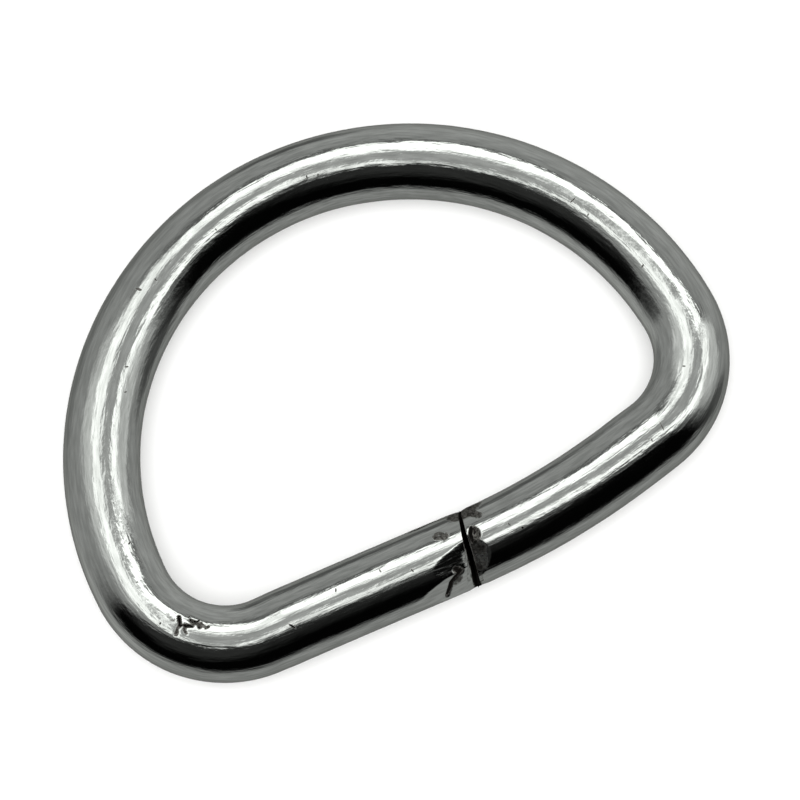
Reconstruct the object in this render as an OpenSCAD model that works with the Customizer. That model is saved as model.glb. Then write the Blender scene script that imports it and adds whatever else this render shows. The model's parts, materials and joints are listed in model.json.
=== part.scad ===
// D ring bent from one round wire. It lies flat: the strap side is towards -Y, the bow towards +Y.
// The two wire ends meet in an open seam near the middle of the strap side.

/* [Wire] */
// Diameter of the round wire
wire_d = 3.7; // [2.6:0.1:4.4]
// How much thinner the wire is drawn where it is bent to the bow and beside the seam
bow_thinning = 0.02; // [0.01:0.01:0.1]
// How much thinner again the wire is drawn in each tight corner
corner_thinning = 0.02; // [0.01:0.01:0.1]

/* [Loop] */
// Clear width between the sides of the bow, for a strap of nearly this width
clear_w = 25.4; // [22:0.2:34]
// Clear height from the inside of the bow to the inside of the strap side at the seam
clear_h = 16.2; // [14.8:0.2:18]
// Radius on the inside of each tight corner
corner_inner_r = 3; // [2:0.2:4.4]
// Slope of each leg, outwards from its corner to the middle, in degrees
leg_slope = 7; // [4:0.5:8]
// Radius on the inside of the gentle bend that takes up the two slopes beside the seam
bend_inner_r = 33.4; // [18:0.2:36]

/* [Seam] */
// Place of the seam along the strap side, from the middle of the bow towards the right corner
seam_x = 0; // [-1:0.1:1]
// Width of the open seam at the inside of the loop
seam_inner_gap = 0.12; // [0.08:0.02:0.3]
// Width of the open seam at the outside of the loop
seam_outer_gap = 0.34; // [0.1:0.02:0.6]
// Turn of the seam from square to the wire, in degrees
seam_skew = 11; // [0:1:20]
// Lean of the seam from upright, with its top towards the left end, in degrees
seam_lean = 6; // [0:1:10]

/* [Left end] */
// Depth of the flat that the cutter left on the top of the end
top_flat_depth = 0.24; // [0.05:0.01:0.3]
// Length of the top flat along the wire
top_flat_length = 2.2; // [0.8:0.1:3]
// Turn of the top flat round the wire, from straight up towards the outside, in degrees
top_flat_turn = 26; // [0:1:45]
// Depth of the flat that the cutter left on the outer side of the end
outer_flat_depth = 0.38; // [0.05:0.01:0.5]
// Length of the outer flat along the wire
outer_flat_length = 3.2; // [1:0.1:4]
// Turn of the outer flat round the wire, from straight up towards the outside, in degrees
outer_flat_turn = 66; // [50:1:110]
// Width of the shear nick that crosses both flats
nick_d = 0.34; // [0.1:0.02:0.5]
// Distance of the nick's upper end from the seam along the wire
nick_top_from_seam = 0.85; // [0.5:0.05:1]
// Turn of the nick's upper end round the wire, from straight up towards the outside, in degrees
nick_top_turn = 37; // [25:1:45]
// Distance of the nick's foot from the seam along the wire
nick_foot_from_seam = 1.9; // [1.4:0.05:2.2]
// Turn of the nick's foot round the wire, from straight up towards the outside, in degrees
nick_foot_turn = 81; // [60:1:90]

/* [Right end] */
// Depth of the chamfer on the top of the end
chamfer_depth = 0.3; // [0.1:0.02:0.6]
// Length of the chamfer along the wire
chamfer_length = 0.7; // [0.4:0.05:1.5]
// Turn of the chamfer round the wire, from straight up towards the outside, in degrees
chamfer_turn = 26; // [10:1:60]
// Radius of the ball that pressed the small dimple
dimple_r = 0.4; // [0.3:0.05:1]
// Depth of the dimple
dimple_depth = 0.13; // [0.05:0.01:0.25]
// Distance of the dimple from the seam along the wire
dimple_from_seam = 0.35; // [0.3:0.05:1.5]
// Turn of the dimple round the wire, from straight up towards the inside, in degrees
dimple_turn = 4; // [0:1:30]
// Depth of the pinch on the inner edge of both ends
pinch_depth = 0.1; // [0.04:0.01:0.2]
// Length of the pinch along the wire, over both ends
pinch_length = 1.2; // [0.6:0.1:2]

/* [Hidden] */
$fn = 96;

// Wire diameters along the ring
bow_d = wire_d - bow_thinning;
corner_d = bow_d - corner_thinning;

// Length by which the thicker stretch runs over the thinner one where two stretches meet
lap = 0.1;

// Direction of the strap side seen from the centres of the bends, in degrees
strap_side = 270;

// Centreline sizes
wire_r = wire_d / 2;
bow_r = clear_w / 2 + wire_r;
corner_r = corner_inner_r + wire_r;
bend_r = bend_inner_r + wire_r;

// The seam point on the centreline, from the centre of the bow
seam = [seam_x, clear_w / 2 - clear_h - wire_r];

// Directions from the seam along each leg, and square to it towards the inside
left_along = [-cos(leg_slope), sin(leg_slope)];
left_inward = [sin(leg_slope), cos(leg_slope)];
right_along = [cos(leg_slope), sin(leg_slope)];
right_inward = [-sin(leg_slope), cos(leg_slope)];

// The left leg runs straight to the seam, and the gentle bend starts there towards the right
bend_centre = seam + bend_r * left_inward;
bend_end = bend_centre - bend_r * right_inward;

// Length of a leg, from its start to the corner that touches both the leg and the bow
function leg_length(start, along, inward) =
    let (
        offset_start = start + corner_r * inward,
        run = offset_start * along,
        rest = offset_start * offset_start - pow(bow_r - corner_r, 2)
    )
    sqrt(run * run - rest) - run;

left_leg = leg_length(seam, left_along, left_inward);
right_leg = leg_length(bend_end, right_along, right_inward);
left_foot = seam + left_leg * left_along;
right_foot = bend_end + right_leg * right_along;
left_corner = left_foot + corner_r * left_inward;
right_corner = right_foot + corner_r * right_inward;

// Angles at which the corners hand over to the bow
left_angle = atan2(left_corner[1], left_corner[0]);
right_angle = atan2(right_corner[1], right_corner[0]);

// The frame's origin is under the middle of the ring's outer box. Where the bow doesn't reach round
// to its full width, the corner beside it is the widest place
bow_side = bow_r + bow_d / 2;
corner_side = corner_r + corner_d / 2;
outer_top = bow_side;
outer_bottom = bend_centre[1] - bend_r - bow_d / 2;
outer_right = right_angle > 0 ? right_corner[0] + corner_side : bow_side;
outer_left = left_angle < 180 ? left_corner[0] - corner_side : -bow_side;
box_middle = [(outer_left + outer_right) / 2, (outer_bottom + outer_top) / 2];

// Reach of a cutting block past the wire
cut_reach = 2 * wire_d;

// Angle that a length of wire takes at a bend radius
function arc_angle(length, radius) = length / radius * 180 / PI;

// A straight length of wire from one point in a direction
module straight_wire(start, direction, length) {
    translate([start[0], start[1], 0])
        rotate([0, 0, atan2(direction[1], direction[0])])
            rotate([0, 90, 0])
                cylinder(d = wire_d, h = length);
}

// A bent length of wire of one diameter round a centre, from one angle to a larger one
module bent_wire(centre, radius, diameter, from_angle, to_angle) {
    translate([centre[0], centre[1], 0])
        rotate([0, 0, from_angle])
            rotate_extrude(angle = to_angle - from_angle)
                translate([radius, 0])
                    circle(d = diameter);
}

// Places its children at the seam, with X along the left leg and Y towards the inside
module at_seam() {
    translate([seam[0], seam[1], 0])
        rotate([0, 0, -leg_slope])
            children();
}

// All that lies past a wire end's cut face. The side is -1 for the left end, 1 for the right
module end_face_cut(side) {
    wedge = atan((seam_outer_gap - seam_inner_gap) / (2 * wire_d));
    middle_gap = (seam_inner_gap + seam_outer_gap) / 4;
    at_seam()
        rotate([0, -seam_lean, -seam_skew])
            translate([side * middle_gap, 0, 0])
                rotate([0, 0, side * wedge])
                    translate([side < 0 ? 0 : -cut_reach, -cut_reach, -cut_reach])
                        cube([cut_reach, 2 * cut_reach, 2 * cut_reach]);
}

// A flat that starts below the surface at the seam and runs out along the wire
module end_flat(side, turn, depth, length) {
    at_seam()
        rotate([turn, 0, 0])
            translate([0, 0, wire_r - depth])
                rotate([0, side * -atan(depth / length), 0])
                    translate([-cut_reach, -cut_reach, 0])
                        cube([2 * cut_reach, 2 * cut_reach, cut_reach]);
}

// The flat on the inner edge of an end, half of the pinch
module pinch_cut(side) {
    end_flat(side, -90, pinch_depth, pinch_length / 2);
}

// A point on the round wire, at a distance from the seam and a turn towards the outside
function on_wire(from_seam, turn) = [from_seam, -wire_r * sin(turn), wire_r * cos(turn)];

// The narrow groove that the shear left across both flats
module nick_cut() {
    foot = on_wire(-nick_foot_from_seam, nick_foot_turn);
    run = on_wire(-nick_top_from_seam, nick_top_turn) - foot;
    at_seam()
        translate(foot)
            rotate([0, acos(run[2] / norm(run)), atan2(run[1], run[0])])
                cylinder(d = nick_d, h = norm(run));
}

// The small round dimple on the top of the right end
module dimple_cut() {
    at_seam()
        rotate([-dimple_turn, 0, 0])
            translate([dimple_from_seam, 0, wire_r + dimple_r - dimple_depth])
                sphere(r = dimple_r);
}

// The left leg and its corner, with the end as the cutter left it
module left_run() {
    difference() {
        union() {
            straight_wire(seam - wire_r * left_along, left_along, left_leg + wire_r + lap);
            bent_wire(left_corner, corner_r, corner_d, left_angle, strap_side - leg_slope);
        }
        end_face_cut(-1);
        end_flat(-1, top_flat_turn, top_flat_depth, top_flat_length);
        end_flat(-1, outer_flat_turn, outer_flat_depth, outer_flat_length);
        pinch_cut(-1);
        nick_cut();
    }
}

// The gentle bend, the right leg and its corner, with the chamfered end
module right_run() {
    bend_start = strap_side - leg_slope - arc_angle(wire_r, bend_r);
    difference() {
        union() {
            bent_wire(bend_centre, bend_r, bow_d, bend_start, strap_side + leg_slope);
            straight_wire(bend_end - lap * right_along, right_along, right_leg + 2 * lap);
            bent_wire(right_corner, corner_r, corner_d, strap_side + leg_slope - 360, right_angle);
        }
        end_face_cut(1);
        end_flat(1, chamfer_turn, chamfer_depth, chamfer_length);
        pinch_cut(1);
        dimple_cut();
    }
}

// The bow, which laps over the two corners
module bow() {
    bow_lap = arc_angle(lap, bow_r);
    bent_wire([0, 0], bow_r, bow_d, right_angle - bow_lap, left_angle + bow_lap);
}

// The whole ring, resting on the ground plane
module wire_ring() {
    color([0.62, 0.64, 0.63])
        translate([-box_middle[0], -box_middle[1], wire_r])
            union() {
                left_run();
                bow();
                right_run();
            }
}

wire_ring();
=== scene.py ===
"""A D ring bent from one plated wire, lying on a pale floor under soft studio light.

The ring is modelled as a maker bends it: one round wire is swept from its right end through the
gentle bend, the right leg, the tight corners and the bow back to its left end. The ends are then
faced, the cutter's flats pressed, the small marks struck, and the whole wire plated.
All sizes are in millimetres until they reach Blender, which works in metres.
"""

import json
import logging
import math
from collections.abc import Sequence
from dataclasses import dataclass, field
from enum import Enum
from functools import partial

import bmesh
import bpy
import numpy as np
from mathutils import Euler, Matrix, Vector, noise

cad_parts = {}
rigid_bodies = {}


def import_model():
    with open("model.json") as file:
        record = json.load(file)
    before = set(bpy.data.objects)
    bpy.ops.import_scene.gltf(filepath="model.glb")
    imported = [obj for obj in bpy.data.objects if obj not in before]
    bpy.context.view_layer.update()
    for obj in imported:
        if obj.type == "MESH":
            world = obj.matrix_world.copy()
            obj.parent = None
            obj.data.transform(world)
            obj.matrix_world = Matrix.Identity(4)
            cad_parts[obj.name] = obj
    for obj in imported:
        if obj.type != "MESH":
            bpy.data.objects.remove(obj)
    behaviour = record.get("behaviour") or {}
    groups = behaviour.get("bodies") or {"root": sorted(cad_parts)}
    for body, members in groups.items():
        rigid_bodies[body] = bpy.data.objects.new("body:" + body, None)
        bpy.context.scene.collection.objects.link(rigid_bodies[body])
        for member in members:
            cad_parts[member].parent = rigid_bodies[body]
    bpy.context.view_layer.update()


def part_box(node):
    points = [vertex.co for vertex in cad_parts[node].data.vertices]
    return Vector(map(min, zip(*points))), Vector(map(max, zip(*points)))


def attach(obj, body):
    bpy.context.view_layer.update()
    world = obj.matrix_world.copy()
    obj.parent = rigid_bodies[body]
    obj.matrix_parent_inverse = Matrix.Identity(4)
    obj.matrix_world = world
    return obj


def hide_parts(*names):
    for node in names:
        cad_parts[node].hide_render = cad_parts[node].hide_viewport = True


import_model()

MM = 0.001
TINY = 1e-7
Socket = bpy.types.NodeSocket
Tree = bpy.types.NodeTree
log = logging.getLogger("d_ring")


def linear(code: str) -> tuple[float, float, float, float]:
    """Turns an sRGB hex colour into a linear one.

    Args:
        code: Six hex digits after a hash mark.

    Returns:
        Red, green, blue and an alpha of one, in linear light.
    """
    levels = [int(code[i:i + 2], 16) / 255 for i in (1, 3, 5)]
    turned = [c / 12.92 if c <= 0.04045 else ((c + 0.055) / 1.055) ** 2.4 for c in levels]
    return turned[0], turned[1], turned[2], 1.0


def add_node(
    tree: Tree,
    kind: str,
    inputs: Sequence[object] | dict[str, object] = (),
    out: str = "",
    **settings: object,
) -> Socket | None:
    """Adds a shader node to a tree with its settings and its links.

    Args:
        tree: The node tree.
        kind: Blender's name for the node's type, after its first part.
        inputs: A value, or the socket that feeds it, for each open socket in order or by name.
        out: Name of the output to give. Without it, the first open one is given.
        settings: Properties of the node.

    Returns:
        The node's output, if it has one.
    """
    node = tree.nodes.new("ShaderNode" + kind)
    for name, value in settings.items():
        setattr(node, name, value)
    sockets = [socket for socket in node.inputs if socket.enabled]
    if isinstance(inputs, dict):
        sockets = [node.inputs[name] for name in inputs]
        inputs = list(inputs.values())
    for socket, value in zip(sockets, inputs):
        if isinstance(value, Socket):
            tree.links.new(value, socket)
        else:
            socket.default_value = value
    return node.outputs[out] if out else next((s for s in node.outputs if s.enabled), None)


def direction(angle: float) -> Vector:
    """Direction in the ring's plane, at an angle from +X in radians."""
    return Vector((math.cos(angle), math.sin(angle)))


def smooth(values: np.ndarray) -> np.ndarray:
    """Eases a share from nought to one, with level ends."""
    share = np.clip(values, 0, 1)
    return share * share * (3 - 2 * share)


class WireEnd(Enum):
    """The two cut ends that face each other across the seam."""

    LEFT = -1
    RIGHT = 1


@dataclass(frozen=True)
class RingSizes:
    """Driving sizes of the ring in millimetres and degrees, the same as the solid's."""

    wire_d: float
    clear_w: float = 25.4
    clear_h: float = 16.2
    corner_inner_r: float = 3
    leg_slope: float = 7
    bend_inner_r: float = 33.4
    seam_x: float = 0.0
    seam_inner_gap: float = 0.12
    seam_outer_gap: float = 0.34
    seam_skew: float = 11
    seam_lean: float = 6
    bow_thinning: float = 0.02
    corner_thinning: float = 0.02

    @property
    def wire_r(self) -> float:
        """Radius of the wire."""
        return self.wire_d / 2

    @property
    def bow_r(self) -> float:
        """Centreline radius of the bow."""
        return self.clear_w / 2 + self.wire_r

    @property
    def corner_r(self) -> float:
        """Centreline radius of each tight corner."""
        return self.corner_inner_r + self.wire_r

    @property
    def bend_r(self) -> float:
        """Centreline radius of the gentle bend beside the seam."""
        return self.bend_inner_r + self.wire_r


@dataclass
class Stretch:
    """A straight or bent stretch of the wire's centreline, with the inside of the loop on its left."""

    start: Vector
    heading: float
    length: float
    radius: float = 0.0
    begins: float = 0.0

    @property
    def along(self) -> Vector:
        """Direction in which the stretch starts."""
        return direction(self.heading)

    @property
    def inward(self) -> Vector:
        """Direction towards the inside of the loop where the stretch starts."""
        return self.along.orthogonal()

    @property
    def centre(self) -> Vector:
        """Centre of the bend."""
        return self.start + self.radius * self.inward

    @property
    def turn(self) -> float:
        """Angle that the stretch turns through, nought where it is straight."""
        return self.length / self.radius if self.radius else 0.0

    @property
    def end(self) -> Vector:
        """Last point of the stretch."""
        if not self.radius:
            return self.start + self.length * self.along
        return self.centre - self.radius * direction(self.heading + self.turn).orthogonal()

    def unbend(self, points: np.ndarray) -> tuple[np.ndarray, np.ndarray]:
        """Measures points along the stretch and across it.

        Args:
            points: Points in the ring's plane, one in each row.

        Returns:
            The distance of each along the stretch, and its offset towards the inside.
        """
        from_start = points - np.array(self.start)
        if not self.radius:
            return from_start @ np.array(self.along), from_start @ np.array(self.inward)
        arm = points - np.array(self.centre)
        angle = np.arctan2(arm @ np.array(self.along), -arm @ np.array(self.inward))
        half_way = self.turn / 2
        angle = (angle - half_way + math.pi) % (2 * math.pi) - math.pi + half_way
        return angle * self.radius, self.radius - np.hypot(arm[:, 0], arm[:, 1])


class WirePath:
    """The wire's centreline, from the seam through the right corner, the bow and back to the seam."""

    def __init__(self, sizes: RingSizes, middle_top: tuple[float, float]) -> None:
        """Works out the stretches from the sizes.

        Args:
            sizes: The ring's driving sizes.
            middle_top: The middle of the outer box along X, and its top along Y.
        """
        self.sizes = s = sizes
        slope = math.radians(s.leg_slope)
        quarter = math.pi / 2
        seam = Vector((s.seam_x, s.clear_w / 2 - s.clear_h - s.wire_r))
        self.bend = Stretch(seam, -slope, 2 * slope * s.bend_r, s.bend_r)
        leg_start = self.bend.end
        self.right_leg = Stretch(leg_start, slope, self._leg_length(leg_start, slope))
        left_length = self._leg_length(seam, math.pi - slope)
        left_foot = seam + left_length * direction(math.pi - slope)
        self.left_leg = Stretch(left_foot, -slope, left_length)
        right_corner = self.right_leg.end + s.corner_r * self.right_leg.inward
        left_corner = left_foot + s.corner_r * self.left_leg.inward
        bow_from, bow_to = (math.atan2(corner.y, corner.x) for corner in (right_corner, left_corner))
        bow_length = (bow_to - bow_from) * s.bow_r
        right_length = (bow_from + quarter - slope) * s.corner_r
        rest_length = (2 * math.pi - slope - bow_to - quarter) * s.corner_r
        bow_start, bow_end = (s.bow_r * direction(angle) for angle in (bow_from, bow_to))
        self.right_corner = Stretch(self.right_leg.end, slope, right_length, s.corner_r)
        self.bow = Stretch(bow_start, bow_from + quarter, bow_length, s.bow_r)
        self.left_corner = Stretch(bow_end, bow_to + quarter, rest_length, s.corner_r)
        corner_reach = s.corner_r + s.wire_r - (s.bow_thinning + s.corner_thinning) / 2
        bow_reach = s.bow_r + s.wire_r - s.bow_thinning / 2
        outer_left = left_corner.x - corner_reach if bow_to < math.pi else -bow_reach
        outer_right = right_corner.x + corner_reach if bow_from > 0 else bow_reach
        box_middle = (outer_left + outer_right) / 2
        shift = Vector((middle_top[0] - box_middle, middle_top[1] - bow_reach))
        self.length = 0.0
        for stretch in self.stretches:
            stretch.start = stretch.start + shift
            stretch.begins = self.length
            self.length += stretch.length
        self.seam = self.bend.start
        self.bow_centre = self.bow.centre

    @property
    def stretches(self) -> list[Stretch]:
        """All stretches in their order along the wire."""
        return [self.bend, self.right_leg, self.right_corner, self.bow, self.left_corner, self.left_leg]

    @property
    def seam_turn(self) -> Matrix:
        """Turn of the cut across the wire, skewed in the ring's plane and leaning out of it."""
        skewed = Matrix.Rotation(-math.radians(self.sizes.leg_slope + self.sizes.seam_skew), 3, "Z")
        return skewed @ Matrix.Rotation(-math.radians(self.sizes.seam_lean), 3, "Y")

    def _leg_length(self, start: Vector, heading: float) -> float:
        """Length of a leg, from its start to the corner that touches both the leg and the bow.

        Args:
            start: Where the leg starts, from the centre of the bow.
            heading: The leg's direction, away from the seam.

        Returns:
            The length in millimetres.
        """
        s = self.sizes
        along = direction(heading)
        inward = along.orthogonal() * math.copysign(1, along.x)
        arm = start + s.corner_r * inward
        run = arm.dot(along)
        rest = arm.dot(arm) - (s.bow_r - s.corner_r) ** 2
        return math.sqrt(run * run - rest) - run

    def straighten(self, points: np.ndarray) -> np.ndarray:
        """Gives each point its place in the straight wire, before it was bent.

        Args:
            points: Points in the row frame in millimetres, one in each row.

        Returns:
            The distance along the wire from the seam, the offset towards the inside of the loop,
            and the height over the centreline, in millimetres.
        """
        from_seam = points - np.array((*self.seam, self.sizes.wire_r))
        past_seam = from_seam @ np.array(self.seam_turn.col[0]) > 0
        by_seam = np.hypot(from_seam[:, 0], from_seam[:, 1]) < self.sizes.wire_d
        best = np.full(len(points), np.inf)
        place = np.zeros((len(points), 3))
        place[:, 2] = points[:, 2] - self.sizes.wire_r
        for stretch in self.stretches:
            along, inward = stretch.unbend(points[:, :2])
            beyond = np.maximum(np.maximum(-along, along - stretch.length), 0)
            miss = np.hypot(beyond, inward)
            miss[by_seam & past_seam & (stretch is not self.bend)] = np.inf
            miss[by_seam & ~past_seam & (stretch is not self.left_leg)] = np.inf
            nearer = miss < best
            best[nearer] = miss[nearer]
            place[nearer, 0] = (stretch.begins + along)[nearer]
            place[nearer, 1] = inward[nearer]
        return place


@dataclass(frozen=True)
class EndFlat:
    """A flat that starts below the surface at the seam and runs out along the wire."""

    end: WireEnd
    turn: float
    depth: float
    length: float


FLATS = (
    EndFlat(WireEnd.LEFT, turn=26, depth=0.24, length=2.2),
    EndFlat(WireEnd.LEFT, turn=66, depth=0.38, length=3.2),
    EndFlat(WireEnd.LEFT, turn=-90, depth=0.1, length=0.6),
    EndFlat(WireEnd.RIGHT, turn=26, depth=0.3, length=0.7),
    EndFlat(WireEnd.RIGHT, turn=-90, depth=0.1, length=0.6),
)


@dataclass(frozen=True)
class Dimple:
    """A small oval dimple beside the seam, as much longer across the wire as the stretch says."""

    stretch: float = 1.2
    radius: float = 0.4
    depth: float = 0.13
    from_seam: float = 0.35
    turn: float = -4


@dataclass(frozen=True)
class RolledRim:
    """The rim of a cut face, rolled over by the shear from one turn round the wire to another.

    It comes in over the fade, in degrees.
    """

    end: WireEnd
    turn_from: float
    turn_to: float
    width: float
    depth: float
    fade: float = 15


RIMS = (
    RolledRim(WireEnd.LEFT, turn_from=4, turn_to=115, width=0.32, depth=0.09),
    RolledRim(WireEnd.RIGHT, turn_from=42, turn_to=115, width=0.4, depth=0.1),
    RolledRim(WireEnd.LEFT, turn_from=-110, turn_to=-45, width=0.3, depth=0.04),
    RolledRim(WireEnd.RIGHT, turn_from=-110, turn_to=-40, width=0.4, depth=0.06),
)


@dataclass(frozen=True)
class Burr:
    """The lip that the shear drew out under both cut faces, which meets its fellow in the gap.

    It runs from one turn round the wire to another and comes in over the fade, in degrees. The
    overlap is how far each lip is pressed past the middle of the gap.
    """

    turn_from: float = 80
    turn_to: float = 326
    fade: float = 12
    width: float = 0.35
    overlap: float = 0.002


@dataclass(frozen=True)
class Stroke:
    """A mark drawn over the wire: a scratch, a pit, a nick, a worn spot or a patch of painted shade.

    Each point is a distance along the wire from the seam in millimetres, less than nought to the
    left of it, and a turn round the wire from straight up towards the outside, in degrees.
    The width and the depth are in millimetres. Wear over about 0.3 dulls the plate, at 0.75 the
    steel is bare, and past 1.1 it is matt black: soil on most marks, and painted shade on the dimple.
    """

    points: tuple[tuple[float, float], ...]
    width: float
    depth: float = 0.0
    wear_and_shade: float = 0.0


# The spatter of short scratches on the left corner
CORNER_SCRATCHES = (
    Stroke(((-14.70, -12), (-14.45, -0.5)), width=0.15, depth=0.03, wear_and_shade=1.6),
    Stroke(((-14.25, -3.5), (-13.90, -6.5)), width=0.15, depth=0.03, wear_and_shade=1.6),
    Stroke(((-14.10, -14), (-13.65, -12.5), (-13.55, -8)), width=0.16, depth=0.03, wear_and_shade=1.6),
    Stroke(((-13.55, -14.5), (-13.25, -8.5), (-13.13, -11)), width=0.12, depth=0.012, wear_and_shade=1.1),
    Stroke(((-14.50, 3.5), (-14.45, 14)), width=0.13, depth=0.015, wear_and_shade=1.2),
    Stroke(((-14.20, -3.5), (-14.20, 3), (-14.05, 7)), width=0.11, depth=0.02, wear_and_shade=1.2),
    Stroke(((-15.20, -6), (-14.90, -4)), width=0.25, depth=0.005, wear_and_shade=0.5),
)

# Pits and short cross cracks in the plate round the ring
PITS = (
    Stroke(((2.45, 18), (2.47, 19)), width=0.07, wear_and_shade=2.0),
    Stroke(((1.95, 3), (2.00, 8)), width=0.05, wear_and_shade=0.9),
    Stroke(((9.81, 12), (9.78, 15)), width=0.05, wear_and_shade=0.9),
    Stroke(((10.64, -3), (10.50, 15)), width=0.04, wear_and_shade=1.0),
    Stroke(((13.76, -14), (13.77, -10)), width=0.06, wear_and_shade=0.8),
    Stroke(((19.60, -18), (19.64, -14)), width=0.06, wear_and_shade=1.1),
    Stroke(((23.34, -16), (23.36, -13)), width=0.05, wear_and_shade=0.9),
    Stroke(((24.42, -14), (24.33, -3)), width=0.05, wear_and_shade=1.1),
    Stroke(((36.29, 14), (36.29, 16)), width=0.06, wear_and_shade=0.9),
    Stroke(((37.32, -19), (37.30, -16)), width=0.05, wear_and_shade=1.0),
    Stroke(((37.88, -19), (37.86, -12)), width=0.05, wear_and_shade=1.0),
    Stroke(((43.11, -18), (43.11, -16)), width=0.06, wear_and_shade=0.8),
    Stroke(((46.98, -5), (46.94, 0)), width=0.05, wear_and_shade=0.9),
    Stroke(((47.74, 7), (47.78, 16)), width=0.09, wear_and_shade=1.2),
    Stroke(((51.46, -24), (51.54, -19)), width=0.06, wear_and_shade=0.9),
    Stroke(((-27.32, -32), (-27.24, -28)), width=0.06, wear_and_shade=0.8),
    Stroke(((-19.46, -22), (-19.38, -18)), width=0.06, wear_and_shade=0.8),
    Stroke(((-17.46, -7), (-17.44, -4)), width=0.06, wear_and_shade=0.9),
    Stroke(((-15.28, 10), (-15.28, 12)), width=0.06, wear_and_shade=0.9),
    Stroke(((-14.23, -21), (-14.23, -16)), width=0.06, wear_and_shade=0.9),
    Stroke(((-13.62, -20), (-13.86, -11)), width=0.07, wear_and_shade=1.6),
    Stroke(((-9.32, 11), (-9.10, 20)), width=0.07, wear_and_shade=1.7),
    Stroke(((-6.64, -11), (-6.72, -6)), width=0.06, wear_and_shade=0.9),
    Stroke(((-4.43, -11), (-4.41, -6)), width=0.05, wear_and_shade=0.8),
    Stroke(((-3.08, 7), (-3.02, 12)), width=0.06, wear_and_shade=1.0),
)

# The marks beside the seam: what the cutter and the closing of the ring left, the nick on the left
# end with the dull patch in its crook, the blotches, the dull rims and the rubbed inner edge, then
# the painted shade of the dimple, black on its rims and in its middle, and the rubbed chamfer on
# the right end
SEAM_MARKS = (
    Stroke(((-1.12, 35), (-0.93, 41)), width=0.24, depth=0.1, wear_and_shade=2.0),
    Stroke(
        ((-0.96, 44), (-1.25, 47), (-1.50, 54), (-1.65, 66), (-1.85, 80)),
        width=0.18,
        depth=0.08,
        wear_and_shade=2.0,
    ),
    Stroke(((-1.10, 54), (-1.25, 62)), width=0.35, wear_and_shade=0.6),
    Stroke(((-1.30, -25), (-1.05, -20)), width=0.36, depth=0.01, wear_and_shade=1.2),
    Stroke(((-0.50, 14), (-0.60, 45), (-0.66, 78)), width=0.18, wear_and_shade=0.42),
    Stroke(((-2.20, -64), (-1.05, -70), (-0.30, -62)), width=0.36, depth=0.01, wear_and_shade=0.85),
    Stroke(((-0.25, -52), (-0.10, -44)), width=0.4, depth=0.02, wear_and_shade=1.0),
    Stroke(((0.20, -46), (0.60, -46)), width=0.55, depth=0.02, wear_and_shade=1.0),
    Stroke(((0.00, -64), (1.00, -58)), width=0.6, depth=0.02, wear_and_shade=1.05),
    Stroke(((0.75, -36), (0.90, -30)), width=0.35, depth=0.02, wear_and_shade=0.95),
    # Painted shade of the dimple: black on its rims and in its middle
    Stroke(((0.30, -15), (0.13, -7), (0.12, 3)), width=0.13, wear_and_shade=1.9),
    Stroke(((0.45, -14), (0.57, -8), (0.50, 2)), width=0.09, wear_and_shade=1.4),
    Stroke(((0.12, 6), (0.32, 6)), width=0.2, wear_and_shade=1.1),
    Stroke(((0.38, -9), (0.38, 0)), width=0.3, wear_and_shade=1.3),
    Stroke(((0.32, 18), (0.08, 48)), width=0.42, wear_and_shade=0.62),
    Stroke(((-0.02, 12), (-0.06, 50)), width=0.26, wear_and_shade=0.95),
    Stroke(((-0.10, 52), (-0.10, 80)), width=0.16, wear_and_shade=0.42),
)


@dataclass(frozen=True)
class Waves:
    """Gentle unevenness of the drawn and bent wire, at most its depth below the true surface.

    Its swells have one size along the wire and one across it. The contrast is how far they go
    from the middle depth.
    """

    along: float
    across: float
    depth: float
    seed: float
    contrast: float = 0.7


WAVES = (
    Waves(along=7, across=2.2, depth=0.03, seed=3.1),
    Waves(along=1.3, across=0.9, depth=0.009, seed=17.4),
)

# How rough the plate's skin is along the wire, most where the wire was bent hardest: a distance
# from the seam in millimetres, and a share
PEEL = ((0, 0.6), (8, 0.7), (10, 1), (17, 1), (21, 0.8), (42, 0.7), (50, 1), (66, 1), (71, 0.6))


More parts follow.
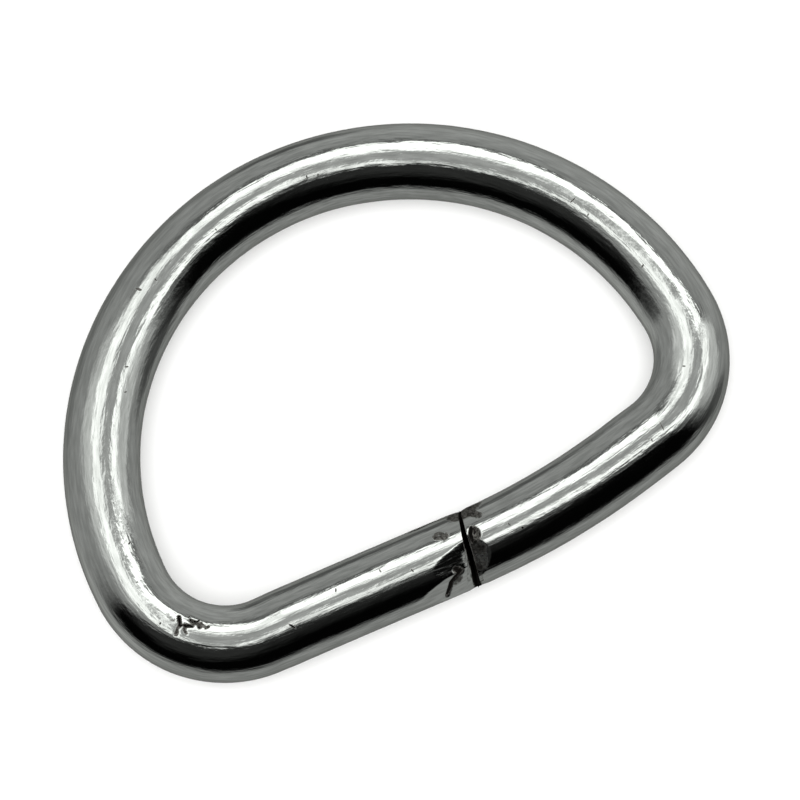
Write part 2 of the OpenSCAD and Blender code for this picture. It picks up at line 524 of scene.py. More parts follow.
@dataclass
class WireRing:
    """The whole ring, one bent wire with an open seam.

    The rings of faces round the wire are a coarse step apart, and a fine step within the fine reach
    of the seam. Only the straight stretches have edges longer than the long edge before they are
    divided. The slit shade depth is how far over the rim of a cut face the black painted shade of
    the slit reaches.
    """

    path: WirePath
    around: int = 160
    fine_step: float = 0.05
    coarse_step: float = 0.2
    fine_reach: float = 3.0
    long_edge: float = 1.0
    stub: float = 1.0
    rim_r: float = 0.03
    rim_steps: int = 3
    face_rings: tuple[float, ...] = (0.7, 0.5, 0.3)
    thinning_length: float = 1.0
    flats: tuple[EndFlat, ...] = FLATS
    dimple: Dimple = Dimple()
    rims: tuple[RolledRim, ...] = RIMS
    burr: Burr = Burr()
    strokes: tuple[Stroke, ...] = CORNER_SCRATCHES + SEAM_MARKS
    waves: tuple[Waves, ...] = WAVES
    slit_shade_depth: float = 0.02
    full_wear_and_shade: float = 2.0
    mark_spread: float = 1.5
    scratched_from: float = 2.4
    scratched_length: float = 2.6
    scratched_step: float = 0.2 / 3
    flat_side: float = 12.0
    ball_segments: int = 48
    name: str = "wire_ring_plated"
    body: bpy.types.Object = field(init=False)

    def build(self) -> bpy.types.Object:
        """Models the ring.

        Returns:
            The finished object, at the origin, with its place in its mesh.
        """
        self._add_right_cut_loop()
        self._sweep_to_left_leg()
        self._add_left_leg()
        self._divide_straight_stretches()
        self._close_ends()
        self._draw_down()
        self._press_ends()
        self._wear_down()
        self._face_ends()
        self._note_places()
        return self.body

    @property
    def _sizes(self) -> RingSizes:
        """The ring's driving sizes."""
        return self.path.sizes

    def _edit(self) -> bmesh.types.BMesh:
        """The mesh that is being edited."""
        return bmesh.from_edit_mesh(self.body.data)

    def _at(self, point: Vector) -> Vector:
        """A point of the ring's plane, in metres, at the height of the centreline."""
        return Vector((point.x, point.y, self._sizes.wire_r)) * MM

    def _points(self) -> np.ndarray:
        """Gives the place of each vertex, in millimetres."""
        vertices = self.body.data.vertices
        points = np.empty(len(vertices) * 3)
        vertices.foreach_get("co", points)
        return points.reshape(-1, 3) / MM

    def _measure(self) -> tuple[np.ndarray, np.ndarray, np.ndarray]:
        """Measures the surface as it lies.

        Returns:
            The point of each vertex in millimetres, its place in the straight wire, and its turn
            round the wire from straight up towards the outside, in degrees.
        """
        points = self._points()
        places = self.path.straighten(points)
        return points, places, np.degrees(np.arctan2(-places[:, 1], places[:, 2]))

    def _cut_plane(self, end: WireEnd, back: float) -> tuple[Vector, Vector]:
        """Place and direction of a wire end's cut face.

        Args:
            end: Which end.
            back: How far behind the face the plane lies, in millimetres.

        Returns:
            A point of the plane in metres, and its normal out of the wire.
        """
        s = self._sizes
        wedge = math.atan((s.seam_outer_gap - s.seam_inner_gap) / (2 * s.wire_d))
        middle_gap = (s.seam_inner_gap + s.seam_outer_gap) / 4
        turn = self.path.seam_turn
        place = self._at(self.path.seam) + turn @ Vector((end.value * middle_gap * MM, 0, 0))
        normal = -end.value * (turn @ Matrix.Rotation(end.value * wedge, 3, "Z")).col[0]
        return place - back * MM * normal, normal

    def _add_right_cut_loop(self) -> None:
        """Cuts a short straight stub of wire across the seam, and keeps only the loop of its cut."""
        bend = self.path.bend
        bpy.ops.object.select_all(action="DESELECT")
        bpy.ops.mesh.primitive_circle_add(
            vertices=self.around,
            radius=self._sizes.wire_r * MM,
            fill_type="NOTHING",
            location=self._at(bend.start - self.stub * bend.along),
            rotation=(0, math.pi / 2, bend.heading),
        )
        self.body = bpy.context.object
        self.body.name = self.body.data.name = self.name
        bpy.ops.object.transform_apply(location=True, rotation=True, scale=True)
        bpy.ops.object.mode_set(mode="EDIT")
        bpy.ops.mesh.select_mode(type="EDGE")
        bpy.ops.mesh.select_all(action="SELECT")
        self._extrude(2 * self.stub * bend.along)
        bpy.ops.mesh.select_all(action="SELECT")
        self._cut(*self._cut_plane(WireEnd.RIGHT, self.rim_r), both=True)
        bpy.ops.mesh.select_all(action="SELECT")

    def _cut(self, place: Vector, normal: Vector, both: bool = False) -> None:
        """Cuts the selected wire at a plane, and takes away what lies past it or on both sides."""
        bpy.ops.mesh.bisect(
            plane_co=place, plane_no=normal, clear_inner=both, clear_outer=True, threshold=TINY
        )

    def _extrude(self, move: Vector) -> None:
        """Draws the selected loop out in a straight line, by a distance in millimetres."""
        step = (move.x * MM, move.y * MM, 0)
        bpy.ops.mesh.extrude_region_move(TRANSFORM_OT_translate={"value": step})

    def _spin(self, stretch: Stretch, length: float, step: float) -> None:
        """Bends the selected loop round the centre of a stretch.

        Args:
            stretch: The bent stretch.
            length: How far to go along its centreline, in millimetres.
            step: The distance between rings on the centreline, in millimetres.
        """
        bpy.ops.mesh.spin(
            steps=max(1, round(length / step)),
            angle=-length / stretch.radius,
            center=self._at(stretch.centre),
            axis=(0, 0, 1),
        )

    def _sweep_to_left_leg(self) -> None:
        """Sweeps the wire through the gentle bend, the right leg, both corners and the bow."""
        p = self.path
        self._spin(p.bend, self.fine_reach, self.fine_step)
        self._spin(p.bend, p.bend.length - self.fine_reach, self.coarse_step)
        self._extrude((p.right_leg.length + self.stub) * p.right_leg.along)
        bpy.ops.mesh.select_more()
        self._cut(self._at(p.right_leg.end), p.right_leg.along.to_3d())
        rest = p.left_corner.length - self.scratched_from - self.scratched_length
        runs = (
            (p.right_corner, p.right_corner.length, self.coarse_step),
            (p.bow, p.bow.length, self.coarse_step),
            (p.left_corner, self.scratched_from, self.coarse_step),
            (p.left_corner, self.scratched_length, self.scratched_step),
            (p.left_corner, rest, self.coarse_step),
        )
        for run in runs:
            self._spin(*run)

    def _add_left_leg(self) -> None:
        """Draws the left leg out past the seam, and cuts it off at the skewed face."""
        leg = self.path.left_leg
        for length in (leg.length - self.fine_reach, self.fine_reach + self.stub):
            self._extrude(length * leg.along)
        bpy.ops.mesh.select_more()
        self._cut(*self._cut_plane(WireEnd.LEFT, self.rim_r))

    def _divide_straight_stretches(self) -> None:
        """Divides the long faces of the straight stretches into rings."""
        p = self.path
        far_length = p.left_leg.length - self.fine_reach
        spans = (
            (p.right_leg.begins, p.right_leg.length, self.coarse_step),
            (p.left_leg.begins, far_length, self.coarse_step),
            (p.left_leg.begins + far_length, self.fine_reach, self.fine_step),
        )
        mesh = self._edit()
        mesh.edges.ensure_lookup_table()
        long_ones = [edge.index for edge in mesh.edges if edge.calc_length() > self.long_edge * MM]
        middles = [(mesh.edges[i].verts[0].co + mesh.edges[i].verts[1].co) / 2 / MM for i in long_ones]
        places = p.straighten(np.array(middles))[:, 0]
        for begins, length, step in reversed(spans):
            bpy.ops.mesh.select_all(action="DESELECT")
            mesh = self._edit()
            mesh.edges.ensure_lookup_table()
            for index, place in zip(long_ones, places):
                if begins < place < begins + length:
                    mesh.edges[index].select_set(True)
            bpy.ops.mesh.subdivide(number_cuts=round(length / step) - 1)

    def _select_end(self, end: WireEnd, edges: bool) -> None:
        """Selects the open loop or the face of one end.

        Args:
            end: Which end.
            edges: Whether to select the open loop of edges, and not the face.
        """
        bpy.ops.mesh.select_mode(type="EDGE" if edges else "FACE")
        bpy.ops.mesh.select_all(action="DESELECT")
        place, normal = self._cut_plane(end, self.rim_r)
        mesh = self._edit()
        for item in mesh.edges if edges else mesh.faces:
            near = all(abs((v.co - place).dot(normal)) < TINY * 10 for v in item.verts)
            open_loop = item.is_boundary if edges else len(item.verts) > 4
            item.select_set(near and open_loop)

    def _close_ends(self) -> None:
        """Fills both ends and rounds their rims."""
        ends = (WireEnd.RIGHT, WireEnd.LEFT)
        for end in ends:
            self._select_end(end, edges=True)
            bpy.ops.mesh.edge_face_add()
        bpy.ops.mesh.select_all(action="SELECT")
        bpy.ops.mesh.normals_make_consistent(inside=False)
        quarter_steps = [math.pi / 2 * k / self.rim_steps for k in range(self.rim_steps + 1)]
        for end in ends:
            self._select_end(end, edges=False)
            for low, high in zip(quarter_steps, quarter_steps[1:]):
                inset = self.rim_r * (math.cos(low) - math.cos(high))
                rise = self.rim_r * (math.sin(high) - math.sin(low))
                bpy.ops.mesh.inset(thickness=inset * MM, depth=rise * MM)
        bpy.ops.object.mode_set(mode="OBJECT")

    def _weigh(self, name: str, weights: np.ndarray) -> None:
        """Adds a vertex group with a weight for each vertex where it is over nought."""
        group = self.body.vertex_groups.new(name=name)
        for index in np.flatnonzero(weights > 0):
            group.add([int(index)], float(weights[index]), "REPLACE")

    def _sink(self, depths: np.ndarray, axis: str = "NORMAL", sign: int = -1) -> None:
        """Moves the surface by a depth in millimetres for each vertex.

        Args:
            depths: The depths.
            axis: The direction of the move, as the Displace modifier names it.
            sign: -1 to move against the axis, and 1 to move along it.
        """
        deepest = float(depths.max())
        self._weigh("sink", depths / deepest)
        modifier = self.body.modifiers.new("sink", "DISPLACE")
        modifier.vertex_group = "sink"
        modifier.direction = axis
        modifier.mid_level = 0.0
        modifier.strength = sign * deepest * MM
        bpy.context.view_layer.objects.active = self.body
        bpy.ops.object.modifier_apply(modifier=modifier.name)
        self.body.vertex_groups.remove(self.body.vertex_groups["sink"])

    def _draw_down(self) -> None:
        """Draws the wire thinner where it was bent, and thinnest in the tight corners."""
        s, p = self._sizes, self.path
        along = p.straighten(self._points())[:, 0]
        ease = self.thinning_length
        bent = smooth(along / ease) * smooth((p.left_leg.begins + ease - along) / ease)
        depths = bent * s.bow_thinning / 2
        for corner in (p.right_corner, p.left_corner):
            inside = smooth((along - corner.begins + ease) / ease)
            inside *= smooth((corner.begins + corner.length + ease - along) / ease)
            depths += inside * s.corner_thinning / 2
        self._sink(depths)

    def _on_wire(self, turn: float, from_seam: float, height: float) -> Matrix:
        """Gives a place over the surface of the wire beside the seam.

        Args:
            turn: Turn round the wire from straight up towards the outside, in degrees.
            from_seam: Distance from the seam, in millimetres.
            height: Height over the surface, in millimetres.

        Returns:
            The place, with X along the left leg and Z out of the wire.
        """
        seam = Matrix.Translation(self._at(self.path.seam))
        slope = Matrix.Rotation(self.path.left_leg.heading, 4, "Z")
        lift = Matrix.Translation(Vector((from_seam, 0, self._sizes.wire_r + height)) * MM)
        return seam @ slope @ Matrix.Rotation(math.radians(turn), 4, "X") @ lift

    def _press(self, tool: bpy.types.Object, end: WireEnd, keep: str) -> None:
        """Presses a tool into one end of the wire, and takes the tool away.

        Args:
            tool: The tool.
            end: The end that it is pressed into.
            keep: The side of the tool that the wire is kept on, INSIDE or OUTSIDE.
        """
        modifier = self.body.modifiers.new("press", "SHRINKWRAP")
        modifier.target = tool
        modifier.wrap_method = "NEAREST_SURFACEPOINT"
        modifier.wrap_mode = keep
        modifier.vertex_group = end.name
        bpy.context.view_layer.objects.active = self.body
        bpy.ops.object.modifier_apply(modifier=modifier.name)
        bpy.data.objects.remove(tool)

    def _press_ends(self) -> None:
        """Presses the cutter's flats and the dimple into the two ends."""
        places = self.path.straighten(self._points())[:, 0]
        self._weigh(WireEnd.LEFT.name, (places > self.path.length - self.fine_reach).astype(float))
        self._weigh(WireEnd.RIGHT.name, (places < self.fine_reach).astype(float))
        for flat in self.flats:
            lean = Matrix.Rotation(-flat.end.value * math.atan(flat.depth / flat.length), 4, "Y")
            place = self._on_wire(flat.turn, 0, -flat.depth) @ lean
            bpy.ops.object.select_all(action="DESELECT")
            bpy.ops.mesh.primitive_plane_add(
                size=self.flat_side * MM, location=place.to_translation(), rotation=place.to_euler()
            )
            self._press(bpy.context.object, flat.end, "INSIDE")
        ball = self.dimple
        place = self._on_wire(ball.turn, ball.from_seam, ball.radius - ball.depth)
        bpy.ops.object.select_all(action="DESELECT")
        bpy.ops.mesh.primitive_uv_sphere_add(
            segments=self.ball_segments,
            ring_count=self.ball_segments // 2,
            radius=ball.radius * MM,
            location=place.to_translation(),
            rotation=place.to_euler(),
            scale=(1, ball.stretch, 1),
        )
        self._press(bpy.context.object, WireEnd.RIGHT, "OUTSIDE")

    def _from_face(self, points: np.ndarray, along: np.ndarray, end: WireEnd) -> np.ndarray:
        """Measures how far points lie behind a cut face.

        Args:
            points: Points in millimetres, one in each row.
            along: Their distances along the wire.
            end: Whose cut face.

        Returns:
            The distances in millimetres, without end for points that are far from that end.
        """
        place, normal = self._cut_plane(end, 0.0)
        behind = np.maximum((np.array(place) / MM - points) @ np.array(normal), 0)
        left = end is WireEnd.LEFT
        own = along > self.path.length - self.fine_reach if left else along < self.fine_reach
        return np.where(own, behind, np.inf)

    def _from_stroke(self, places: np.ndarray, turns: np.ndarray, stroke: Stroke) -> np.ndarray:
        """Measures how far points of the surface lie from a stroke.

        Args:
            places: Places in the straight wire in millimetres, one in each row.
            turns: Their turns round the wire in degrees.
            stroke: The stroke.

        Returns:
            The distances over the surface, in millimetres.
        """
        arc = math.radians(self._sizes.wire_r)
        total = self.path.length
        from_seam = (places[:, 0] + total / 2) % total - total / 2
        surface = np.stack((from_seam, turns * arc), axis=1)
        line = [np.array((along, turn * arc)) for along, turn in stroke.points]
        nearest = np.full(len(places), np.inf)
        for first, last in zip(line, line[1:]):
            run = last - first
            share = np.clip((surface - first) @ run / (run @ run), 0, 1)
            miss = surface - first - share[:, None] * run
            nearest = np.minimum(nearest, np.hypot(miss[:, 0], miss[:, 1]))
        return nearest

    def _wear_down(self) -> None:
        """Rolls the rims over, draws the strokes in and lays the waves over the whole wire."""
        points, places, turns = self._measure()
        depths = np.zeros(len(points))
        for wave in self.waves:
            size = np.array((wave.along, wave.across, wave.across))
            ripple = [noise.noise(Vector(place)) for place in places / size + wave.seed]
            depths += wave.depth * np.clip(0.5 + wave.contrast * np.array(ripple), 0, 1)
        for rim in self.rims:
            near = 1 - np.clip(self._from_face(points, places[:, 0], rim.end) / rim.width, 0, 1)
            reach = smooth((turns - rim.turn_from) / rim.fade)
            reach *= smooth((rim.turn_to - turns) / rim.fade)
            depths += rim.depth * near ** 2 * reach
        for stroke in self.strokes:
            if stroke.depth:
                miss = self._from_stroke(places, turns, stroke)
                depths += stroke.depth * smooth(1 - miss / stroke.width)
        self._sink(depths)
        self._set_faces(points, places[:, 0], turns)

    def _set_faces(self, points: np.ndarray, along: np.ndarray, turns: np.ndarray) -> None:
        """Brings the sunken rims back to their cut faces, and draws the lips out until they meet.

        Args:
            points: Where the vertices were before they were worn down, in millimetres.
            along: Their distances along the wire.
            turns: Their turns round the wire in degrees.
        """
        burr = self.burr
        around = np.where(turns < 0, turns + 360, turns)
        reach = smooth((around - burr.turn_from) / burr.fade)
        reach *= smooth((burr.turn_to - around) / burr.fade)
        across = self.path.seam_turn.col[0]
        seam = np.array((*self.path.seam, self._sizes.wire_r))
        worn_down = self._points()
        from_middle = np.abs((worn_down - seam) @ np.array(across))
        for end in WireEnd:
            behind = np.minimum(self._from_face(points, along, end), burr.width)
            lip = np.maximum(from_middle - behind + burr.overlap, 0) * (1 - behind / burr.width) ** 2
            sunken = np.minimum(self._from_face(worn_down, along, end), burr.width) - behind
            move = reach * lip + (1 - reach) * np.maximum(sunken, 0)
            self._sink(move / across.x, "X", -end.value)

    def _face_ends(self) -> None:
        """Lays rings across both cut faces, and closes each at its middle."""
        for end in (WireEnd.RIGHT, WireEnd.LEFT):
            bpy.ops.object.mode_set(mode="EDIT")
            bpy.ops.mesh.select_mode(type="FACE")
            bpy.ops.mesh.select_all(action="DESELECT")
            normal = self._cut_plane(end, 0.0)[1]
            wide_ones = [face for face in self._edit().faces if len(face.verts) > 4]
            face = max(wide_ones, key=lambda face: face.normal.dot(normal))
            face.select_set(True)
            middle = face.calc_center_median()
            for share in self.face_rings:
                bpy.ops.mesh.extrude_region_move()
                bpy.ops.transform.resize(value=(share, share, share), center_override=middle)
            bpy.ops.mesh.poke()
            bpy.ops.object.mode_set(mode="OBJECT")

    def _note_places(self) -> None:
        """Notes each vertex's place in the straight wire, its wear with the painted shade of the slit
        and the dimple, and its roughness of skin.
        """
        points, places, turns = self._measure()
        marked = np.zeros(len(points))
        # Painted shade of the narrow slit: the cut faces get the darkest value, so they show matt black
        for end in WireEnd:
            behind = self._from_face(points, places[:, 0], end)
            marked += self.full_wear_and_shade * (1 - smooth(behind / self.slit_shade_depth))
        for stroke in self.strokes:
            miss = self._from_stroke(places, turns, stroke)
            reach = smooth(self.mark_spread * (1 - miss / stroke.width))
            marked = np.maximum(marked, stroke.wear_and_shade * reach)
        peel = np.interp(places[:, 0], *zip(*PEEL))
        attributes = self.body.data.attributes
        noted = attributes.new("straight", "FLOAT_VECTOR", "POINT")
        noted.data.foreach_set("vector", places.ravel())
        for name, values in (("wear_and_shade", np.clip(marked, 0, self.full_wear_and_shade)), ("peel", peel)):
            attributes.new(name, "FLOAT", "POINT").data.foreach_set("value", values)


@dataclass(frozen=True)
class PhotoCamera:
    """The camera that took the photo, placed round the centre of the bow."""

    azimuth: float = -30.9
    elevation: float = 74.0
    distance: float = 258.6
    right_shift: float = -0.486
    up_shift: float = 2.559
    lens: float = 246.8
    sensor: float = 36.0
    clip_ratio: float = 20.0

    def add(self, bow_centre: Vector, height: float) -> None:
        """Adds the camera to the scene.

        Args:
            bow_centre: The centre of the bow in the ring's plane, in millimetres.
            height: The height of the wire's centreline, in millimetres.
        """
        az, el = math.radians(self.azimuth), math.radians(self.elevation)
        turn = Euler((math.pi / 2 - el, 0, az)).to_matrix()
        offset = turn @ Vector((self.right_shift, self.up_shift, self.distance))
        data = bpy.data.cameras.new("photo_camera")
        data.lens = self.lens
        data.sensor_width = self.sensor
        data.clip_start = self.distance * MM / self.clip_ratio
        data.clip_end = self.distance * MM * self.clip_ratio
        camera = bpy.data.objects.new("photo_camera", data)
        bpy.context.collection.objects.link(camera)
        place = (Vector((bow_centre.x, bow_centre.y, height)) + offset) * MM
        camera.matrix_world = Matrix.Translation(place) @ turn.to_4x4()
        bpy.context.scene.camera = camera


@dataclass(frozen=True)
class SoftPanel:
    """A soft oval panel of light or shade in the surroundings that the plate reflects.

    The bearing is measured from straight away from the camera towards its right, and the bearing,
    the elevation, the half sizes and the turn in the panel's own plane are in degrees. The
    softness is a share of the half sizes, and the level is the light that the plate sends back,
    where one is white. The thickness keeps the panel to its own side of the room.
    """

    bearing: float
    elevation: float
    half_width: float
    half_height: float
    level: float
    turn: float = 0.0
    softness: float = 0.9
    thickness: float = 0.5

    def mask(self, tree: Tree, local: Socket, rim: float = 0.0) -> Socket:
        """Finds where the panel shows.

        Args:
            tree: The world's node tree.
            local: The direction, with Y away from the camera.
            rim: Width of the dark rim that is added round it, as a share of the half sizes.

        Returns:
            The socket with the mask.
        """
        aside = Matrix.Rotation(-math.radians(self.bearing), 3, "Z")
        down = Matrix.Rotation(-math.radians(90 - self.elevation), 3, "X")
        facing = aside @ down @ Matrix.Rotation(math.radians(self.turn), 3, "Z")
        across, upright = (math.sin(math.radians(half)) for half in (self.half_width, self.half_height))
        fitted = (local, facing.col[2], facing.to_euler(), (across, upright, self.thickness))
        seen = add_node(tree, "Mapping", fitted, vector_type="TEXTURE")
        reach = add_node(tree, "VectorMath", (seen,), operation="LENGTH")
        span = (1 + rim + self.softness / 2, 1 + rim - self.softness / 2)
        return add_node(tree, "MapRange", (reach, *span), interpolation_type="SMOOTHSTEP")


@dataclass(frozen=True)
class DarkFlag:
    """The tall dark flag on the camera's side, whose shade makes the black band along the wire.

    Its half width, its foot and their softness are in degrees. Its top edge lies towards the
    camera by the slope's share of its height.
    """

    half_width: float = 76
    side_softness: float = 24
    top_slope: float = 0.4
    top_softness: float = 0.2
    foot: float = -17
    foot_softness: float = 24
    level: float = 0.0006

    def mask(self, tree: Tree, local: Socket) -> Socket:
        """Finds where the flag shows.

        Args:
            tree: The world's node tree.
            local: The direction, with Y away from the camera.

        Returns:
            The socket with the mask.
        """
        add = partial(add_node, tree)
        right, away, up = add("SeparateXYZ", (local,)).node.outputs
        near = add("Math", (away, -1.0), operation="MULTIPLY")
        bearing = add("Math", (right, near), operation="ARCTAN2")
        aside = add("Math", (bearing,), operation="ABSOLUTE")
        over_top = add("Math", (up, -self.top_slope, near), operation="MULTIPLY_ADD")
        half, side = math.radians(self.half_width), math.radians(self.side_softness) / 2
        foot, step = math.radians(self.foot), math.radians(self.foot_softness) / 2
        spans = (
            (aside, half + side, half - side),
            (over_top, -self.top_softness / 2, self.top_softness / 2),
            (up, math.sin(foot - step), math.sin(foot + step)),
        )
        sides, top, bottom = (add("MapRange", s, interpolation_type="SMOOTHSTEP") for s in spans)
        upper = add("Math", (sides, top), operation="MULTIPLY")
        return add("Math", (upper, bottom), operation="MULTIPLY")


# The pale ceiling and the light and dark parts of the room, low down
ROOM_PARTS = (
    SoftPanel(0, 90, half_width=24, half_height=24, level=0.31),
    SoftPanel(15, -15, half_width=50, half_height=36, level=0.26),
    SoftPanel(255, -45, half_width=30, half_height=18, level=0.27),
    SoftPanel(98, -16, half_width=13, half_height=24, level=0.055, turn=30),
    SoftPanel(343, -19, half_width=10, half_height=11, level=0.075, softness=1.2),
    SoftPanel(306, -30, half_width=24, half_height=16, level=0.15),
)

# The white panels overhead, which make the two streaks along the top of the wire, with the grey
# gaps between them, and the pale wall on the right
PANELS = (
    SoftPanel(20, 68, half_width=26, half_height=16, level=1.3, turn=-40, softness=0.35),
    SoftPanel(295, 67, half_width=17, half_height=40, level=0.48, turn=5, softness=0.8),
    SoftPanel(261, 81, half_width=13, half_height=36, level=0.95, turn=-73, softness=0.5),
    SoftPanel(79, 49, half_width=42, half_height=16, level=1.05, turn=102, softness=0.35),
    SoftPanel(77, 25, half_width=18, half_height=22, level=0.4, turn=45),
    SoftPanel(59, 71, half_width=17, half_height=12, level=0.27, turn=47, softness=0.4),
    SoftPanel(217, 86, half_width=16, half_height=10, level=0.28, turn=-67, softness=0.4),
    SoftPanel(37, 58, half_width=17, half_height=4, level=1.2, turn=51, softness=0.4),
)

# The faint light on the upper part of the flag
FLAG_GLOW = SoftPanel(205, 58, half_width=38, half_height=30, level=0.02)


@dataclass(frozen=True)
class Surroundings:
    """The studio as the plate reflects it: a mid grey room, white panels overhead, a dark flag.

    The panels over the white level have dark rims, whose width is a share of their half sizes.
    """

    camera: PhotoCamera
    plate_level: float
    room_level: float = 0.205
    room_parts: tuple[SoftPanel, ...] = ROOM_PARTS
    panels: tuple[SoftPanel, ...] = PANELS
    white: float = 0.9
    rim_width: float = 0.34
    rim_level: float = 0.06
    flag: DarkFlag = DarkFlag()
    glow: SoftPanel = FLAG_GLOW
    tint: str = "#FDFFFD"
    backdrop: str = "#FFFFFF"

    def add(self) -> None:
        """Sets the scene's world, with the camera's own rays on a plain pale backdrop."""
        world = bpy.data.worlds.new("studio_surroundings")
        bpy.context.scene.world = world
        world.use_nodes = True
        world.cycles_visibility.diffuse = False
        tree = world.node_tree
        tree.nodes.clear()
        add = partial(add_node, tree)
        turn = (0, 0, -math.radians(self.camera.azimuth))
        local = add("Mapping", {"Vector": add("TexCoord", out="Generated"), "Rotation": turn})
        white_panels = [panel for panel in self.panels if panel.level > self.white]
        glow = self.glow.mask(tree, local)
        shade = add("Mix", (glow, self.flag.level, self.glow.level), data_type="FLOAT")
        layers = [(part.level, part.mask(tree, local)) for part in self.room_parts]
        layers += [(self.rim_level, panel.mask(tree, local, self.rim_width)) for panel in white_panels]
        layers += [(panel.level, panel.mask(tree, local)) for panel in self.panels]
        layers += [(shade, self.flag.mask(tree, local))]
        level = self.room_level
        for upper, mask in layers:
            level = add("Mix", (mask, level, upper), data_type="FLOAT")
        shown = add("Math", (level, self.plate_level), operation="DIVIDE")
        studio = add("Background", (linear(self.tint), shown))
        backdrop = add("Background", (linear(self.backdrop),))
        seen = add("LightPath", out="Is Camera Ray")
        add("OutputWorld", (add("MixShader", (seen, studio, backdrop)),))


@dataclass(frozen=True)
class SoftSun:
    """Plain soft light from high up, for the floor and the shadow under the wire."""

    strength: float = 5.4
    spread: float = 110
    lean: float = 12

    def add(self) -> None:
        """Adds the light, unseen in the plate."""
        data = bpy.data.lights.new("soft_overhead_light", "SUN")
        data.energy = self.strength
        data.angle = math.radians(self.spread)
        lamp = bpy.data.objects.new("soft_overhead_light", data)
        lamp.rotation_euler = (math.radians(self.lean), math.radians(-self.lean), 0)
        lamp.visible_glossy = False
        bpy.context.collection.objects.link(lamp)


@dataclass(frozen=True)
class PaleFloor:
    """A plain pale sheet of matt paper, pressed from pulp, so that it scatters light evenly."""

    side: float = 2000
    colour: str = "#F7F7F6"

    def add(self) -> bpy.types.Object:
        """Adds the floor.

        Returns:
            The floor, which the plate doesn't reflect.
        """
        bpy.ops.object.select_all(action="DESELECT")
        bpy.ops.mesh.primitive_plane_add(size=self.side * MM)
        floor = bpy.context.object
        floor.name = "pale_floor"
        floor.visible_glossy = False
        material = bpy.data.materials.new("matt_paper")
        material.use_nodes = True
        shader = material.node_tree.nodes["Principled BSDF"]
        shader.inputs["Base Color"].default_value = linear(self.colour)
        shader.inputs["Roughness"].default_value = 1.0
        shader.inputs["Specular IOR Level"].default_value = 0.0
        floor.data.materials.append(material)
        return floor


@dataclass(frozen=True)
class SkinPattern:
    """Soft noise over the straight wire, with features of one size along it and one across it."""

    along: float
    across: float
    detail: float = 1.0

    def lay(self, tree: Tree, place: Socket) -> Socket:
        """Lays the pattern over the wire.

        Args:
            tree: The plate's node tree.
            place: The place in the straight wire, in millimetres.

        Returns:
            The socket with the noise, centred on nought.
        """
        scale = (1 / self.along, 1 / self.across, 1 / self.across)
        fitted = add_node(tree, "Mapping", {"Vector": place, "Scale": scale})
        cloudy = add_node(tree, "TexNoise", {"Vector": fitted, "Scale": 1.0, "Detail": self.detail})
        return add_node(tree, "Math", (cloudy, 0.5), operation="SUBTRACT")


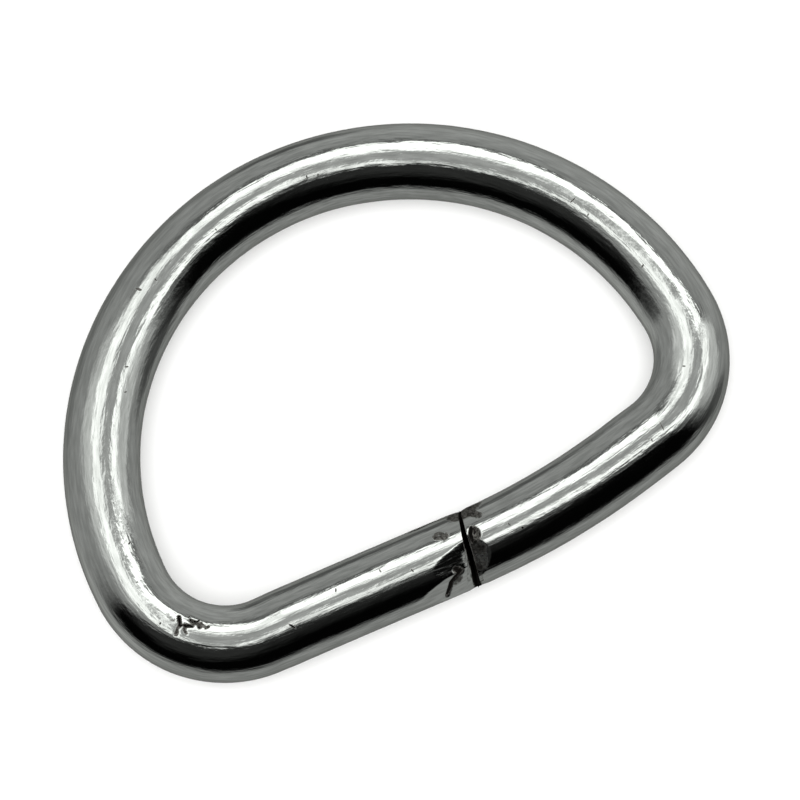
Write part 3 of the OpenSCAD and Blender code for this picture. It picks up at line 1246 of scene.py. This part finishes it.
@dataclass(frozen=True)
class BrightNickelPlate:
    """Bright nickel plated on drawn steel wire.

    The wire was pulled through a die, which leaves fine draw lines along it. Bending it opened
    the skin to a fine peel, most in the tight corners, and the plate follows it, so the streaks of
    light have ragged edges and break up in the corners. Where the cutter and the closing tool
    rubbed the plate off, the dull steel shows, and the nicks hold matt black soil. The same matt
    black is painted on the cut faces as the shade deep in the narrow slit, and on the rims and
    middle of the dimple as its shade.
    Sizes and depths are in millimetres. The real draw lines are a few hundredths of a millimetre
    wide, too fine to show, so they are drawn coarser. A span is the wear, or the noise, over which
    a finish comes in.
    """

    pits: tuple[Stroke, ...]
    wire_r: float
    wire_length: float
    colour: str = "#DADCD9"
    dull_colour: str = "#BCBEBB"
    worn_colour: str = "#85837F"
    rubbed_colour: str = "#42403C"
    soil_and_shade_colour: str = "#0C0B0A"
    edge_tint: str = "#C8C8C6"
    roughness: float = 0.1
    roughness_change: float = 0.06
    worn_roughness: float = 0.42
    clouds: SkinPattern = SkinPattern(along=1.0, across=0.16, detail=2.0)
    lines: SkinPattern = SkinPattern(along=2.0, across=0.12)
    peel: SkinPattern = SkinPattern(along=0.9, across=0.26)
    grain: SkinPattern = SkinPattern(along=0.2, across=0.08)
    flecks: SkinPattern = SkinPattern(along=0.13, across=0.13, detail=2.0)
    blots: SkinPattern = SkinPattern(along=0.5, across=0.5)
    line_depth: float = 0.006
    peel_depth: float = 0.014
    grain_depth: float = 0.004
    fleck_depth: float = 0.03
    unevenness: float = 1.7
    unmottled: float = 0.8
    dulled_span: tuple[float, float] = (0.25, 0.5)
    worn_span: tuple[float, float] = (0.35, 0.75)
    soil_and_shade_span: tuple[float, float] = (1.1, 1.6)
    cloud_span: tuple[float, float] = (-0.3, 0.3)
    fleck_span: tuple[float, float] = (-0.15, 0.15)
    pit_span: tuple[float, float] = (1.0, 0.4)

    @property
    def level(self) -> float:
        """Share of the light that the plate sends back, as one number."""
        shades = (*linear(self.colour)[:3], *linear(self.dull_colour)[:3])
        return sum(shades) / len(shades)

    def _pitted(self, tree: Tree, place: Socket) -> Socket | float:
        """Finds how worn the plate is by the pits and cracks.

        Args:
            tree: The plate's node tree.
            place: The place in the straight wire, in millimetres.

        Returns:
            The socket with the wear, measured over the surface of the straight wire.
        """
        add = partial(add_node, tree)
        along, inward, up = add("SeparateXYZ", (place,)).node.outputs
        outward = add("Math", (inward, -1.0), operation="MULTIPLY")
        turn = add("Math", (outward, up), operation="ARCTAN2")
        arc = add("Math", (turn, self.wire_r), operation="MULTIPLY")
        surface = add("CombineXYZ", (along, arc))
        marked = 0.0
        for pit in self.pits:
            first, last = (
                Vector((s % self.wire_length, math.radians(turned) * self.wire_r, 0))
                for s, turned in pit.points
            )
            run = last - first
            heading = (0, 0, math.atan2(run.y, run.x))
            size = (run.length / 2 + pit.width, pit.width, 1)
            inputs = (surface, (first + last) / 2, heading, size)
            fitted = add("Mapping", inputs, vector_type="TEXTURE")
            reach = add("VectorMath", (fitted,), operation="LENGTH")
            inputs = (reach, *self.pit_span, 0.0, pit.wear_and_shade)
            here = add("MapRange", inputs, interpolation_type="SMOOTHSTEP")
            marked = add("Math", (here, marked), operation="MAXIMUM")
        return marked

    def material(self) -> bpy.types.Material:
        """Makes the material.

        Returns:
            The plate's material.
        """
        material = bpy.data.materials.new("bright_nickel_plate")
        material.use_nodes = True
        tree = material.node_tree
        add = partial(add_node, tree)
        place = add("Attribute", out="Vector", attribute_name="straight")
        bent = add("Attribute", out="Fac", attribute_name="peel")
        wear_and_shade = add("Attribute", out="Fac", attribute_name="wear_and_shade")
        patterns = (self.clouds, self.lines, self.peel, self.grain, self.flecks, self.blots)
        cloud, line, peel, grain, fleck, blot = (pattern.lay(tree, place) for pattern in patterns)
        mottle = add("Math", (fleck, blot), operation="ADD")
        uneven = add("Math", (mottle, self.unevenness, 1.0), operation="MULTIPLY_ADD")
        wear_and_shade = add("Math", (wear_and_shade, self._pitted(tree, place)), operation="MAXIMUM")
        unmottled = add("Math", (wear_and_shade, self.unmottled), operation="MULTIPLY")
        wear_and_shade = add("Math", (wear_and_shade, uneven), operation="MULTIPLY")
        spans = (
            (wear_and_shade, *self.dulled_span),
            (wear_and_shade, *self.worn_span),
            (add("Math", (wear_and_shade, unmottled), operation="MAXIMUM"), *self.soil_and_shade_span),
            (cloud, *self.cloud_span),
            (fleck, *self.fleck_span),
        )
        dulled, marked, soiled_and_shaded, clouded, flecked = (
            add("MapRange", span, interpolation_type="SMOOTHSTEP") for span in spans
        )
        height = add("Math", (line, self.line_depth), operation="MULTIPLY")
        bumps = (
            (peel, self.peel_depth, bent),
            (grain, self.grain_depth, bent),
            (fleck, self.fleck_depth, marked),
        )
        for pattern, depth, share in bumps:
            bump = add("Math", (pattern, depth), operation="MULTIPLY")
            height = add("Math", (bump, share, height), operation="MULTIPLY_ADD")
        plate = (clouded, linear(self.dull_colour), linear(self.colour))
        steel = (flecked, linear(self.rubbed_colour), linear(self.worn_colour))
        plate, steel = (add("Mix", colours, data_type="RGBA") for colours in (plate, steel))
        rubbed = add("Mix", (marked, plate, steel), data_type="RGBA")
        shine = add("Math", (peel, self.roughness_change, self.roughness), operation="MULTIPLY_ADD")
        shader = tree.nodes["Principled BSDF"]
        shader.inputs["Specular IOR Level"].default_value = 0.0
        shader.inputs["Specular Tint"].default_value = linear(self.edge_tint)
        # The matt black is soil in the nicks, scratches and pits, and painted shade on the cut faces in
        # the slit and in the dimple
        fed = {
            "Base Color": add("Mix", (soiled_and_shaded, rubbed, linear(self.soil_and_shade_colour)), data_type="RGBA"),
            "Metallic": add("Math", (1.0, soiled_and_shaded), operation="SUBTRACT"),
            "Roughness": add("Mix", (dulled, shine, self.worn_roughness), data_type="FLOAT"),
            "Normal": add("Bump", {"Height": height, "Distance": MM}),
        }
        for name, socket in fed.items():
            tree.links.new(socket, shader.inputs[name])
        return material


def main() -> None:
    """Builds and dresses the ring, then the floor, the light and the camera."""
    logging.basicConfig(level=logging.INFO, format="%(message)s")
    low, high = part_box("wire_ring")
    sizes = RingSizes(wire_d=(high.z - low.z) / MM)
    path = WirePath(sizes, ((low.x + high.x) / 2 / MM, high.y / MM))
    ring = WireRing(path)
    piece = ring.build()
    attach(piece, "root")
    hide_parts("wire_ring")
    plate = BrightNickelPlate(pits=PITS, wire_r=sizes.wire_r, wire_length=path.length)
    piece.data.materials.append(plate.material())
    piece.data.shade_smooth()
    # In the photo the plate shows the studio, and nothing of the wire across the loop
    piece.visible_glossy = False
    log.info("wire ring: %d faces, %.1f mm of wire", len(piece.data.polygons), path.length)
    PaleFloor().add()
    SoftSun().add()
    camera = PhotoCamera()
    camera.add(path.bow_centre, sizes.wire_r)
    Surroundings(camera, plate.level).add()
    bpy.context.scene.view_settings.view_transform = "Standard"


if __name__ == "__main__":
    main()
